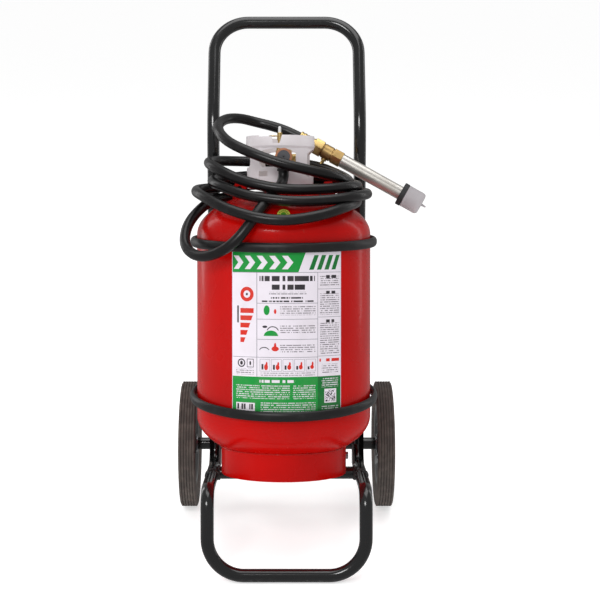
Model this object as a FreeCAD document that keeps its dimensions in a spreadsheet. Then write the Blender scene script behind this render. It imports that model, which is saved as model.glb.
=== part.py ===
"""Wheeled fire extinguisher: a red vessel in a bent-tube trolley, with its valve, guard, hose and nozzle.

Everything is drawn on an upright trolley: X to the right, Y to the back, Z along the vessel, and the origin
at the centre of the skirt's lower rim. Each sub-part is then set down in the parked stance, which leans back
on the wheels and the foot bar, with the floor at Z = 0.
"""
import FreeCAD, Part
import math
import os
import re
import Sketcher
from FreeCAD import Placement, Rotation, Vector

DRIVING = {
    # parked stance
    "lean": 12, "stanceShift": -75.3, "vesselShift": -5,
    # vessel
    "vesselRadius": 150, "vesselWall": 2.5, "headDepth": 75, "headBase": 99, "headTop": 412,
    "skirtRadius": 108, "skirtWall": 3, "skirtTop": 66, "neckRadius": 25, "neckBore": 16,
    "neckBase": 478, "neckTop": 496, "lugThick": 5, "lugPlace": 78, "lugHalf": 12,
    "lugTop": 503, "lugHole": 4.5,
    "skirtBoltHeight": 28, "skirtNutThick": 4, "skinGap": 1,
    # label and sticker
    "labelLow": 121, "labelHigh": 385, "labelHalf": 36.7, "labelTurn": 2.4, "labelGap": 0.05,
    "labelThick": 0.35, "stickerRadius": 11, "stickerThick": 0.8, "stickerBack": -136,
    # trolley frame
    "tubeRadius": 11, "tubeBore": 9.2, "frameHalf": 131, "cornerRadius": 61, "creaseRadius": 34,
    "bendRadius": 160, "bendBack": 75.5, "bendHeight": 607, "handleBack": 147, "handleHeight": 799,
    "runBack": 158.5, "runHeight": -11.2, "runSplit": 20, "footBack": -131, "spigotHalf": 30,
    "axleBack": 176.5, "axleHeight": 22, "axleTubeHalf": 165, "axleRadius": 6, "axleHalf": 195,
    "crossBack": 52, "gussetThick": 4, "gussetLeg": 46, "gussetPlace": 122,
    # retaining hoops
    "sleeveHigh": 8.2, "sleeveDeep": 5.2, "rodRadius": 3, "hoopGap": 0.8, "sleeveArc": 236, "rodArc": 240,
    "upperHoop": 400.5, "upperTilt": 3.5, "lowerHoop": 134.5, "lowerTilt": 7,
    # wheels
    "wheelRadius": 115, "tyreHalf": 15.5, "tyreBore": 76, "wheelPlace": 179, "grooveDeep": 1.8,
    "grooveHalf": 0.9, "ribPitch": 4.9, "hubRadius": 18, "bushRadius": 10, "bushBore": 6.06,
    "hubHalf": 12, "rimHalf": 12, "rimWall": 2.5, "boltRing": 42, "boltRadius": 3, "boltHead": 5.5,
    "washerRadius": 13, "washerThick": 1.5, "washerGap": 0.3, "nutRadius": 9, "nutThick": 3.5,
    # valve
    "bodyRadius": 14, "bodyTop": 559, "bodyBore": 5, "threadLong": 30, "outletHeight": 543, "outletReach": 60,
    "ringRadius": 14.2, "endCapRadius": 10.6, "endCapThick": 4, "elbowRadius": 10.4, "elbowLong": 22,
    "elbowLow": 530, "ferruleRadius": 11.2, "ferruleLow": 519, "plungerX": -7, "plungerRadius": 3.4,
    "guideRadius": 5.5, "guideTop": 570, "headRadius": 4.6, "headLow": 575, "plungerTop": 588.5,
    "tipRadius": 2.6, "tipTop": 599, "plungerTravel": 3, "pinHeight": 582.4, "pinRadius": 1.1, "pinRing": 6,
    "pinReach": 6,
    "portHeight": 543, "portRadius": 7.2, "portReach": 8, "dipRadius": 9, "dipWall": 1.2, "dipLow": 42,
    # valve guard
    "guardRadius": 59, "guardWall": 3, "guardBase": 491, "guardFloor": 4, "guardTop": 581,
    "guardTurn": -5, "guardShift": -6, "guardHole": 34, "windowLow": 527, "windowHigh": 559,
    "slotLow": 511, "slotHigh": 520, "slotOut": 1, "slotIn": 14, "windowHalf": 31,
    "notchHalf": 10, "notchDeep": 14, "clampRadius": 38, "clampTop": 500,
    # hose and nozzle
    "hoseRadius": 9, "nozzleX": 54, "nozzleBack": 63, "nozzleHeight": 570, "nozzleDip": 29.2,
    "nozzleTurn": 5.5, "inletFlat": 14, "inletLong": 16, "tapRadius": 13.2, "tapLong": 22,
    "outletFlat": 13.3, "outletLong": 17, "barrelRadius": 12.2, "barrelBore": 10.8, "barrelLong": 120,
    "collarRadius": 20.8, "collarLong": 9, "nozzleCapRadius": 20.3, "nozzleCapLong": 33, "capWall": 2.2,
    "capGap": 0.35, "tapBore": 8, "tapStem": 2.6, "leverReach": 15,
    "leverHalf": 6.5, "leverThick": 3.4, "crimpLong": 30, "crimpRadius": 11.6,
}

doc = FreeCAD.newDocument("WheeledExtinguisher")
sheet = doc.addObject("Spreadsheet::Sheet", "Sizes")
for row, (alias, amount) in enumerate(DRIVING.items(), start=1):
    sheet.set(f"A{row}", str(amount))
    sheet.setAlias(f"A{row}", alias)
doc.recompute()
nodes = {}


def linked(formula):
    """A formula in cell names, as an expression on the sheet."""
    return re.sub(r"[A-Za-z]\w*", lambda word: f"Sizes.{word[0]}" if word[0] in DRIVING else word[0],
                  str(formula))


def value(formula):
    """What a formula in cell names comes to."""
    return float(sheet.evalExpression(linked(formula)))


def spot(x, y, z):
    return Vector(value(x), value(y), value(z))


def bind(thing, **formulas):
    """Tie properties of an object to the sheet."""
    for prop, formula in formulas.items():
        thing.setExpression(prop, linked(formula))
    return thing


# The parked stance: wheels and foot bar both touch the floor.
lift = value("wheelRadius + axleBack * sin(lean) - axleHeight * cos(lean)")
footHeight = (value("tubeRadius + footBack * sin(lean)") - lift) / value("cos(lean)")
stance = Placement(Vector(0, value("stanceShift"), lift), Rotation(Vector(1, 0, 0), -value("lean")))
upright = Rotation()
alongX = Rotation(Vector(0, 1, 0), 90)
alongY = Rotation(Vector(1, 0, 0), -90)

# The vessel and all that it carries sit a little to the left of the trolley's middle.
load = stance.multiply(Placement(Vector(value("vesselShift"), 0, 0), upright))


def node(label, thing, local=Placement(), carrier=load):
    """Name a finished sub-part and set it down in the parked stance."""
    thing.Label = label
    thing.Placement = carrier.multiply(local).multiply(thing.Placement)
    nodes[label] = thing
    return thing


def trolley(label, thing, local=Placement()):
    """The same for a sub-part of the trolley itself."""
    return node(label, thing, local, stance)


def solid(kind, place=(0, 0, 0), turn=upright, **formulas):
    """A Part primitive with its sizes tied to the sheet."""
    thing = bind(doc.addObject(f"Part::{kind}", kind), **formulas)
    thing.Placement = Placement(spot(*place), turn)
    return thing


def cut(base, *tools):
    for tool in tools:
        thing = doc.addObject("Part::Cut", "Cut")
        thing.Base = base
        thing.Tool = tool
        thing.Refine = False
        base = thing
    return base


def fuse(*things):
    thing = doc.addObject("Part::MultiFuse", "Fuse")
    thing.Shapes = list(things)
    return thing


def common(*things):
    thing = doc.addObject("Part::MultiCommon", "Common")
    thing.Shapes = list(things)
    return thing


def group(*things):
    thing = doc.addObject("Part::Compound", "Group")
    thing.Links = list(things)
    return thing


def ring(outer, inner, low, high, place=(0, 0, 0), turn=upright):
    """A tube between two heights of its own axis."""
    low_place = Placement(spot(*place), turn).multiply(Placement(spot(0, 0, low), upright))
    pair = []
    for radius in (outer, inner):
        pair.append(bind(doc.addObject("Part::Cylinder", "Ring"), Radius=radius, Height=f"{high} - ({low})"))
        pair[-1].Placement = low_place
    return cut(*pair)


def hexagon(flat, low, high, place=(0, 0, 0), turn=upright):
    thing = bind(doc.addObject("Part::Prism", "Hexagon"), Circumradius=f"({flat}) / cos(30)",
                 Height=f"{high} - ({low})")
    thing.Polygon = 6
    thing.Placement = Placement(spot(*place), turn).multiply(Placement(spot(0, 0, low), upright))
    return thing


def outline(body, plane, corners):
    """A closed outline of straight lines, each corner placed by two formulas."""
    sketch = body.newObject("Sketcher::SketchObject", "Outline")
    origin = next(item for item in body.Origin.OriginFeatures if item.Role == plane)
    sketch.AttachmentSupport = [(origin, "")]
    sketch.MapMode = "FlatFace"
    spots = [Vector(value(x), value(y), 0) for x, y in corners]
    for start, end in zip(spots, spots[1:] + spots[:1]):
        sketch.addGeometry(Part.LineSegment(start, end), False)
    for index, (x, y) in enumerate(corners):
        sketch.addConstraint(Sketcher.Constraint("Coincident", index - 1 if index else len(corners) - 1, 2,
                                                 index, 1))
        for kind, formula, now in (("DistanceX", x, spots[index].x), ("DistanceY", y, spots[index].y)):
            number = sketch.addConstraint(Sketcher.Constraint(kind, -1, 1, index, 1, now))
            sketch.setExpression(f"Constraints[{number}]", linked(formula))
    return sketch


def turned(corners, angle=360):
    """A PartDesign body turned about Z from an outline of radius and height formulas."""
    body = doc.addObject("PartDesign::Body", "Turned")
    sketch = outline(body, "XZ_Plane", corners)
    feature = body.newObject("PartDesign::Revolution", "Revolution")
    feature.Profile = sketch
    feature.ReferenceAxis = (sketch, ["V_Axis"])
    feature.Angle = angle
    return body


def plate(plane, corners, thick):
    """A PartDesign body: an outline on one of its planes, padded both ways."""
    body = doc.addObject("PartDesign::Body", "Plate")
    feature = body.newObject("PartDesign::Pad", "Pad")
    feature.Profile = outline(body, plane, corners)
    feature.Midplane = True
    bind(feature, Length=thick)
    return body


def rounded(points, radii):
    """A wire of straight runs joined by tangent arcs."""
    edges = []
    here = points[0]
    for before, corner, after, radius in zip(points, points[1:], points[2:], radii):
        into = (corner - before).normalize()
        out = (after - corner).normalize()
        half = math.acos(max(-1, min(1, into.dot(out)))) / 2
        reach = radius * math.tan(half)
        start = corner - into * reach
        end = corner + out * reach
        middle = corner + (out - into).normalize() * (radius / math.cos(half) - radius)
        edges.append(Part.LineSegment(here, start).toShape())
        edges.append(Part.Arc(start, middle, end).toShape())
        here = end
    edges.append(Part.LineSegment(here, points[-1]).toShape())
    return Part.Wire(edges)


def swept(wire, radius):
    """A round bar along a wire."""
    path = doc.addObject("Part::Feature", "Path")
    path.Shape = wire
    section = bind(doc.addObject("Part::Circle", "Section"), Radius=radius)
    first = wire.Edges[0]
    section.Placement = Placement(first.valueAt(first.FirstParameter),
                                  Rotation(Vector(0, 0, 1), first.tangentAt(first.FirstParameter)))
    bar = doc.addObject("Part::Sweep", "Bar")
    bar.Sections = [section]
    bar.Spine = (path, [f"Edge{number}" for number in range(1, len(wire.Edges) + 1)])
    bar.Solid = True
    bar.Frenet = False
    return bar


def mirrored(points):
    """The points, then the same points on the other side, in the opposite order."""
    return points + [Vector(-point.x, point.y, point.z) for point in reversed(points)]


# ---- vessel ----

def vessel_form(radius, depth):
    """A cylinder with an elliptical head on each end."""
    parts = [solid("Cylinder", (0, 0, "headBase"), Radius=radius, Height="headTop - headBase")]
    for height in ("headBase", "headTop"):
        parts.append(solid("Ellipsoid", (0, 0, height), Radius1=depth, Radius2=radius, Radius3=radius))
    return fuse(*parts)


def vessel():
    bore = solid("Cylinder", (0, 0, "headTop"), Radius="neckBore", Height="2 * headDepth")
    outer = vessel_form("vesselRadius", "headDepth")
    inner = vessel_form("vesselRadius - vesselWall", "headDepth - vesselWall")
    node("vessel_shell", cut(cut(outer, inner), bore))
    skirt = ring("skirtRadius", "skirtRadius - skirtWall", 0, "skirtTop")
    hole = solid("Cylinder", ("skirtRadius - 14", 0, "skirtBoltHeight"), alongX, Radius="boltRadius",
                 Height=20)
    node("base_skirt", cut(skirt, vessel_form("vesselRadius", "headDepth"), hole))
    collar = turned([("neckBore", "neckBase"), ("neckRadius + 4", "neckBase"), ("neckRadius", "neckTop - 5"),
                     ("neckRadius", "neckTop - 1"), ("neckRadius - 1", "neckTop"), ("neckBore", "neckTop")])
    node("neck_collar", cut(collar, vessel_form("vesselRadius", "headDepth")))
    node("skirt_bolt", fuse(
        hexagon("boltHead", 0, "skirtNutThick", ("skirtRadius", 0, "skirtBoltHeight"), alongX),
        hexagon("boltHead", 0, "skirtNutThick + 1", ("skirtRadius - skirtWall - 5.4", 0, "skirtBoltHeight"),
                alongX),
        solid("Cylinder", ("skirtRadius - 14", 0, "skirtBoltHeight"), alongX, Radius="boltRadius - 0.1",
              Height=14)))
    lugs = []
    for turn in (-10, 170):
        lug = plate("XZ_Plane", [("lugPlace - lugHalf", "lugTop - 60"), ("lugPlace + lugHalf", "lugTop - 60"),
                                 ("lugPlace + lugHalf", "lugTop - 10"), ("lugPlace + lugHalf / 2", "lugTop"),
                                 ("lugPlace - lugHalf / 2", "lugTop"), ("lugPlace - lugHalf", "lugTop - 10")],
                    "lugThick")
        hole = solid("Cylinder", ("lugPlace", 10, "lugTop - 11"), Rotation(Vector(1, 0, 0), 90),
                     Radius="lugHole", Height=20)
        lug = cut(lug, hole)
        lug.Placement = Placement(Vector(), Rotation(Vector(0, 0, 1), turn))
        lugs.append(lug)
    node("lifting_lugs", cut(group(*lugs), vessel_form("vesselRadius", "headDepth")))


def markings():
    wide = "2 * labelHalf"
    faces = [solid("Cylinder", (0, 0, "labelLow"), Angle=wide, Height="labelHigh - labelLow",
                   Radius=f"vesselRadius + labelGap + {thick}") for thick in ("labelThick", "0")]
    turn = Rotation(Vector(0, 0, 1), value("-90 - labelHalf + labelTurn"))
    node("front_label", cut(*faces), Placement(Vector(), turn))
    disc = solid("Cylinder", (0, "stickerBack", "headTop"), Radius="stickerRadius", Height="headDepth")
    skins = [solid("Ellipsoid", (0, 0, "headTop"), Radius1=f"headDepth + {thick}",
                   Radius2=f"vesselRadius + {thick}", Radius3=f"vesselRadius + {thick}")
             for thick in ("labelGap + stickerThick", "labelGap")]
    node("round_sticker", common(disc, cut(*skins)))


# ---- trolley frame ----

def frame():
    side = [Vector(-value("frameHalf"), value("runSplit"), value("runHeight")),
            Vector(-value("frameHalf"), value("runBack"), value("runHeight")),
            Vector(-value("frameHalf"), value("bendBack"), value("bendHeight")),
            Vector(-value("frameHalf"), value("handleBack"), value("handleHeight"))]
    bends = ["creaseRadius", "bendRadius", "cornerRadius"]
    radii = [value(bend) for bend in bends]
    handle = rounded(mirrored(side), radii + radii[::-1])
    front = [Vector(-value("frameHalf"), value("runSplit"), value("runHeight")),
             Vector(-value("frameHalf"), value("footBack"), value("runHeight")),
             Vector(-value("frameHalf"), value("footBack"), footHeight)]
    radii = [value("creaseRadius"), value("cornerRadius")]
    foot = rounded(mirrored(front), radii + radii[::-1])
    trolley("handle_loop", cut(swept(handle, "tubeRadius"), swept(handle, "tubeBore")))
    trolley("foot_loop", cut(swept(foot, "tubeRadius"), swept(foot, "tubeBore")))
    outside = fuse(swept(handle, "tubeRadius"), swept(foot, "tubeRadius"))
    spigots = [ring("tubeBore - 0.05", "tubeBore - 1.5", "-spigotHalf", "spigotHalf",
                    (f"{hand} * frameHalf", "runSplit", "runHeight"), alongY) for hand in (-1, 1)]
    trolley("frame_spigots", group(*spigots))
    bar = ring("tubeRadius", "tubeBore", "-frameHalf", "frameHalf", (0, "crossBack", "runHeight"), alongX)
    trolley("cross_bar", cut(bar, outside))
    trolley("axle_tube", ring("tubeRadius", "axleRadius + 0.3", "-axleTubeHalf", "axleTubeHalf",
                              (0, "axleBack", "axleHeight"), alongX))
    webs = []
    for hand in (-1, 1):
        web = plate("YZ_Plane", [("runBack - gussetLeg", "runHeight"), ("runBack", "runHeight"),
                                 ("runBack - 4", "runHeight + gussetLeg")], "gussetThick")
        web.Placement = Placement(spot(f"{hand} * gussetPlace", 0, 0), upright)
        webs.append(web)
    trolley("frame_gussets", cut(group(*webs), outside))
    return outside


def hoops(outside):
    """Each rod is bent round the vessel and runs straight back into the frame's uprights."""
    for name, height, tilt in (("upper", "upperHoop", "upperTilt"), ("lower", "lowerHoop", "lowerTilt")):
        radius = f"(vesselRadius + hoopGap + sleeveDeep) / cos({tilt})"
        sections = {
            "rod": bind(doc.addObject("Part::Circle", "RodSection"), Radius="rodRadius"),
            "bore": bind(doc.addObject("Part::Circle", "BoreSection"), Radius="rodRadius"),
            "sleeve": bind(doc.addObject("Part::Ellipse", "SleeveSection"), MajorRadius="sleeveHigh",
                           MinorRadius="sleeveDeep"),
        }
        rings = {}
        for part, section in sections.items():
            section.Placement = Placement(spot(radius, 0, 0), Rotation(Vector(1, 0, 0), 90).multiply(
                Rotation(Vector(0, 0, 1), 90)))
            rings[part] = doc.addObject("Part::Revolution", "Hoop")
            rings[part].Source = section
            rings[part].Axis = Vector(0, 0, 1)
            rings[part].Solid = True
            rings[part].Symmetric = True
            bind(rings[part], Angle="rodArc" if part == "rod" else "sleeveArc")
        lay = Placement(spot("vesselShift", 0, height), Rotation(Vector(1, 0, 0), value(tilt)).multiply(
            Rotation(Vector(0, 0, 1), -90)))
        climb = (value(height) - value("runHeight")) / (value("bendHeight") - value("runHeight"))
        behind = value("runBack") - climb * (value("runBack") - value("bendBack"))
        tails = []
        for hand in (-1, 1):
            start = Rotation(Vector(0, 0, 1), hand * value("rodArc") / 2).multVec(spot(radius, 0, 0))
            finish = Vector(-behind, hand * value("frameHalf") - value("vesselShift"), 0)
            lead = (finish - start).normalize()
            tails.append(swept(rounded([start - lead, finish], []), "rodRadius"))
        rod = fuse(rings["rod"], *tails)
        rod.Placement = lay
        trolley(f"{name}_hoop_rod", cut(rod, outside))
        trolley(f"{name}_hoop_sleeve", cut(rings["sleeve"], rings["bore"]), lay)


# ---- wheels and axle ----

def tyre_outline():
    """Half-round shoulders and a tread of ribs between grooves."""
    corners = [("tyreBore", "-rimHalf"), ("tyreBore + 6", "-tyreHalf + 1"), ("wheelRadius - 12", "-tyreHalf"),
               ("wheelRadius - 3", "-tyreHalf + 0.6"), ("wheelRadius", "-tyreHalf + 2.2")]
    for groove in (-2, -1, 0, 1, 2):
        for side, deep in ((-1, 0), (-0.6, 1), (0.6, 1), (1, 0)):
            corners.append((f"wheelRadius - {deep} * grooveDeep",
                            f"{groove} * ribPitch + {side} * grooveHalf"))
    mirror = [(radius, f"-({height})") for radius, height in reversed(corners[:5])]
    return corners + mirror


def wheel(side, hand):
    place = Placement(spot(f"{hand} * wheelPlace", "axleBack", "axleHeight"), alongX)
    trolley(f"{side}_tyre", turned(tyre_outline()), place)
    rim = turned([("bushRadius", "-hubHalf"), ("hubRadius", "-hubHalf"), ("hubRadius", "-rimWall - 2"),
                  ("boltRing - 12", "-rimWall"), ("boltRing + 12", "-rimWall"),
                  ("tyreBore - 8", "-rimHalf + 1"), ("tyreBore", "-rimHalf"), ("tyreBore", "rimHalf"),
                  ("tyreBore - 8", "rimHalf - 1"), ("boltRing + 12", "rimWall"), ("boltRing - 12", "rimWall"),
                  ("hubRadius", "rimWall + 2"), ("hubRadius", "hubHalf"), ("bushRadius", "hubHalf")])
    holes = []
    bolts = []
    for number in range(4):
        turn = Rotation(Vector(0, 0, 1), 45 + 90 * number)
        spoke = turn.multVec(spot("boltRing", 0, 0))
        holes.append(solid("Cylinder", (spoke.x, spoke.y, -20), Radius="boltRadius + 0.2", Height=40))
        at = (spoke.x, spoke.y, 0)
        bolts.append(fuse(hexagon("boltHead", "rimWall", "rimWall + 4", at),
                          hexagon("boltHead", "-rimWall - 5", "-rimWall", at),
                          solid("Cylinder", (spoke.x, spoke.y, "-rimWall - 7"), Radius="boltRadius",
                                Height="2 * rimWall + 9")))
    trolley(f"{side}_rim", cut(rim, group(*holes)), place)
    trolley(f"{side}_rim_bolts", group(*bolts), place)
    trolley(f"{side}_bush", ring("bushRadius", "bushBore", "-hubHalf", "hubHalf"), place)


def axle():
    centre = (0, "axleBack", "axleHeight")
    trolley("axle_rod", solid("Cylinder", ("-axleHalf", "axleBack", "axleHeight"), alongX,
                              Radius="axleRadius", Height="2 * axleHalf"))
    washers = []
    nuts = []
    for hand in (-1, 1):
        for step in (-1, 1):
            low = (f"{hand} * (wheelPlace + {step} * (hubHalf + washerGap + washerThick / 2))"
                   f" - washerThick / 2")
            washers.append(ring("washerRadius", "axleRadius", low, f"{low} + washerThick", centre, alongX))
        low = (f"{hand} * (wheelPlace + hubHalf + washerGap + washerThick + nutThick / 2) - nutThick / 2")
        nut = hexagon("nutRadius", low, f"{low} + nutThick", centre, alongX)
        nuts.append(cut(nut, solid("Cylinder", ("-2 * axleHalf", "axleBack", "axleHeight"), alongX,
                                   Radius="axleRadius", Height="4 * axleHalf")))
    trolley("axle_washers", group(*washers))
    trolley("axle_nuts", group(*nuts))


# ---- valve ----

def valve():
    stem = turned([("dipRadius", "neckTop - threadLong"), ("neckBore - 0.1", "neckTop - threadLong"),
                   ("neckBore - 0.1", "neckTop"), ("neckRadius - 2", "neckTop"),
                   ("neckRadius - 2", "neckTop + 6"), ("bodyRadius", "neckTop + 10"),
                   ("bodyRadius", "bodyTop - 2"), ("bodyRadius - 2", "bodyTop"), ("bodyBore", "bodyTop"),
                   ("bodyBore", "neckTop + 12"), ("dipRadius", "neckTop + 12")])
    arm = solid("Cylinder", (0, 0, "outletHeight"), Rotation(Vector(1, 0, 0), 90), Radius="elbowRadius",
                Height="outletReach")
    boss = solid("Cylinder", ("bodyBore + 1", 0, "portHeight"), alongX, Radius="portRadius - 1.5",
                 Height="portReach")
    guide = solid("Cylinder", ("plungerX", 0, "bodyTop - 6"), Radius="guideRadius",
                  Height="guideTop - bodyTop + 6")
    bore = solid("Cylinder", ("plungerX", 0, "bodyTop - 20"), Radius="plungerRadius + 0.05", Height=60)
    shape = cut(fuse(stem, arm, boss, guide), bore)
    passage = solid("Cylinder", (0, "-bodyBore", "outletHeight"), Rotation(Vector(1, 0, 0), 90), Radius=6,
                    Height="outletReach - 2 * bodyBore")
    node("valve_body", cut(shape, passage))
    node("neck_seal", bind(solid("Torus", (0, 0, "neckTop - 1.2"), Radius2="1"), Radius1="neckRadius + 1"))
    node("dip_tube", ring("dipRadius - 0.05", "dipRadius - dipWall", "dipLow", "neckTop + 11"))
    node("dip_strainer", turned([("dipRadius", "dipLow"), ("dipRadius + 3", "dipLow"),
                                 ("dipRadius + 3", "dipLow + 16"), ("dipRadius", "dipLow + 20")]))
    front = Rotation(Vector(1, 0, 0), 90)
    reach = (0, "-outletReach", "outletHeight")
    leg = "-outletReach - elbowRadius - 0.2"
    node("outlet_elbow", fuse(solid("Cylinder", reach, front, Radius="ringRadius - 1.5", Height="elbowLong"),
                              solid("Cylinder", (0, leg, "elbowLow"), Radius="elbowRadius",
                                    Height="outletHeight - elbowLow")))
    node("outlet_ring", ring("ringRadius", "ringRadius - 3.4", "elbowLong", "elbowLong + 3", reach, front))
    node("outlet_cap", ring("endCapRadius", "1.5", "elbowLong", "elbowLong + endCapThick", reach, front))
    node("outlet_ferrule", solid("Cylinder", (0, leg, "ferruleLow"), Radius="ferruleRadius",
                                 Height="elbowLow - ferruleLow"))
    port = ("bodyRadius", 0, "portHeight")
    nut = hexagon("portRadius", 0, "portReach", port, alongX)
    node("side_port_nut", cut(nut, solid("Cylinder", port, alongX, Radius="portRadius - 1.4", Height=4)))
    node("side_port_cap", turned([(0, 0), ("portRadius - 2", 0), ("portRadius - 1.2", 3),
                                  ("portRadius - 2.4", 6), (0, 6)]),
         Placement(spot("bodyRadius + portReach", 0, "portHeight"), alongX))


def plunger():
    """The strike head: it slides down in its guide, with a slot that lets it pass the safety pin."""
    rod = turned([(0, "bodyTop - 12"), ("plungerRadius", "bodyTop - 12"), ("plungerRadius", "headLow"),
                  ("headRadius", "headLow"), ("headRadius", "plungerTop - 1"),
                  ("headRadius - 1", "plungerTop"),
                  (0, "plungerTop")])
    slot = solid("Box", ("-20", "-pinRadius - 0.4", "pinHeight - pinRadius - 0.4"), Length=40,
                 Width="2 * pinRadius + 0.8", Height="2 * pinRadius + plungerTravel + 0.8")
    node("plunger", cut(rod, slot), Placement(spot("plungerX", 0, 0), upright))
    node("plunger_tip", turned([(0, "plungerTop"), ("tipRadius", "plungerTop"), ("tipRadius", "tipTop - 2"),
                                ("tipRadius - 1.2", "tipTop"), (0, "tipTop")]),
         Placement(spot("plungerX", 0, 0), upright))
    node("safety_pin", fuse(
        solid("Cylinder", ("plungerX - pinReach", 0, "pinHeight"), alongX, Radius="pinRadius",
              Height="pinReach + 12"),
        solid("Torus", ("plungerX - pinReach - pinRing", 0, "pinHeight"), Radius1="pinRing",
              Radius2="pinRadius - 0.3")))


def guard():
    shell = turned([("guardHole", "guardBase"), ("guardRadius - 2", "guardBase"),
                    ("guardRadius - 1", "windowLow"), ("guardRadius - 1", "windowHigh"),
                    ("guardRadius + 0.5", "windowHigh + 4"), ("guardRadius", "guardTop"),
                    ("guardRadius - guardWall", "guardTop"), ("guardRadius - guardWall - 1", "windowHigh"),
                    ("guardRadius - guardWall - 1", "guardBase + guardFloor + 4"),
                    ("guardRadius - guardWall - 5", "guardBase + guardFloor"),
                    ("guardHole", "guardBase + guardFloor")])
    windows = []
    for quarter in range(4):
        turn = Rotation(Vector(0, 0, 1), value("guardTurn") + 90 * quarter)
        window = plate("XZ_Plane", [("-windowHalf", "windowLow + 5"), ("-windowHalf + 5", "windowLow"),
                                    ("windowHalf - 5", "windowLow"), ("windowHalf", "windowLow + 5"),
                                    ("windowHalf", "windowHigh - 8"), ("windowHalf * 0.7", "windowHigh - 3"),
                                    ("0", "windowHigh"), ("-windowHalf * 0.7", "windowHigh - 3"),
                                    ("-windowHalf", "windowHigh - 8")], 40)
        window.Placement = Placement(turn.multVec(spot(0, "-guardRadius", 0)), turn)
        windows.append(window)
        foot = plate("XZ_Plane", [("-windowHalf - slotOut", "slotLow"), ("-windowHalf - slotOut", "slotHigh"),
                                  ("-windowHalf + slotIn", "slotHigh"),
                                  ("-windowHalf + slotIn", "slotLow")], 40)
        foot.Placement = window.Placement
        windows.append(foot)
    turn = Rotation(Vector(0, 0, 1), value("guardTurn"))
    notch = plate("XZ_Plane", [("-notchHalf - 22", "guardTop - 2.5"), ("-notchHalf + 0.5", "guardTop - 2.5"),
                               ("-notchHalf + 3", "guardTop - notchDeep"),
                               ("notchHalf - 6", "guardTop - notchDeep"), ("notchHalf", "guardTop + 5"),
                               ("-notchHalf - 22", "guardTop + 5")], 40)
    notch.Placement = Placement(turn.multVec(spot(0, "-guardRadius", 0)), turn)
    node("valve_guard", cut(shell, *windows, notch), Placement(spot("guardShift", 0, 0), upright))
    node("guard_clamp", ring("clampRadius", "neckRadius + 3", "guardBase + guardFloor", "clampTop"))


# ---- hose ----

# The hose before its turns: out of the valve, down the front of the head, a hanging loop at the left of the
# upper hoop, then up and round behind the valve. The points are X, Y and Z on the upright trolley.
leadPoints = [
    (0, -70.6, 519), (0, -70.6, 506), (-7, -85, 491), (-18, -108, 480), (-37, -137, 457), (-57, -153, 427),
    (-81, -157, 398), (-112, -145, 379), (-145, -113, 375), (-168, -77, 393), (-165, -46, 429),
    (-141, -12, 460), (-118, 32, 475), (-84, 78, 480), (-32, 109, 480), (32, 109, 478), (84, 80, 475),
    (117, 36, 471),
]
# The hose after its turns: forward over the outlet, up into the high loop at the left, back to the nozzle.
tailPoints = [
    (112, 14, 507), (112, -30, 502), (82, -78, 511), (36, -99, 521), (-14, -99, 533), (-60, -87, 551),
    (-99, -53, 571), (-117, -3, 597), (-106, 42, 615), (-79, 70, 619), (-48, 86, 612), (-17, 78, 604),
    (14, 66.9, 592.4), (43.6, 64, 575.9),
]
# Where each turn crosses the right, front, left and back.
turns = [
    {"right": (128, -35, 469), "front": (0, -172, 433), "left": (-154, -12, 488), "back": (0, 95, 502)},
    {"right": (148, -32, 482), "front": (0, -140, 466), "left": (-126, -12, 505), "back": (0, 88, 520)},
    {"right": (131, -30, 495), "front": (0, -121, 486), "left": (-133, -4, 537), "back": (0, 80, 541)},
    {"right": (118, -22, 503), "front": (0, -96, 528), "left": (-126, -2, 600), "back": (0, 80, 600)},
]
turnSteps = 12


def coil_point(travel):
    """A point of the hose's turns: travel counts turns, from the right by way of the front."""
    spots = {}
    for order, side in enumerate(("right", "front", "left", "back")):
        last = travel - order / 4
        index = max(0, min(len(turns) - 2, math.floor(last)))
        share = max(0, min(1, last - index))
        spots[side] = Vector(*turns[index][side]) * (1 - share) + Vector(*turns[index + 1][side]) * share
    across = math.cos(2 * math.pi * travel)
    ahead = math.sin(2 * math.pi * travel)
    height = (max(0, across) ** 2 * spots["right"].z + max(0, -across) ** 2 * spots["left"].z
              + max(0, ahead) ** 2 * spots["front"].z + max(0, -ahead) ** 2 * spots["back"].z)
    depth_mid = (spots["front"].y + spots["back"].y) / 2
    depth_half = (spots["back"].y - spots["front"].y) / 2
    width_mid = (spots["right"].x + spots["left"].x) / 2
    width_half = (spots["right"].x - spots["left"].x) / 2
    return Vector(width_mid + width_half * across, depth_mid - depth_half * ahead, height)


def free_route(points):
    """Straight runs joined by the largest arcs that the runs allow."""
    radii = []
    for before, corner, after in zip(points, points[1:], points[2:]):
        runs = (corner - before).Length, (after - corner).Length
        turn = (corner - before).getAngle(after - corner)
        radii.append(0.45 * min(runs) / math.tan(turn / 2))
    return rounded(points, radii), radii


def hose_tube(label, points):
    wire, radii = free_route(points)
    bar = node(label, swept(wire, "hoseRadius"))
    doc.recompute()
    fill = bar.Shape.Volume / (math.pi * value("hoseRadius") ** 2 * wire.Length)
    print(f"{label}: length {wire.Length:.0f} mm, volume over section times length {fill:.4f}")
    print("  radii", " ".join(f"{radius:.0f}" for radius in radii))
    return wire.Length


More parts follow.
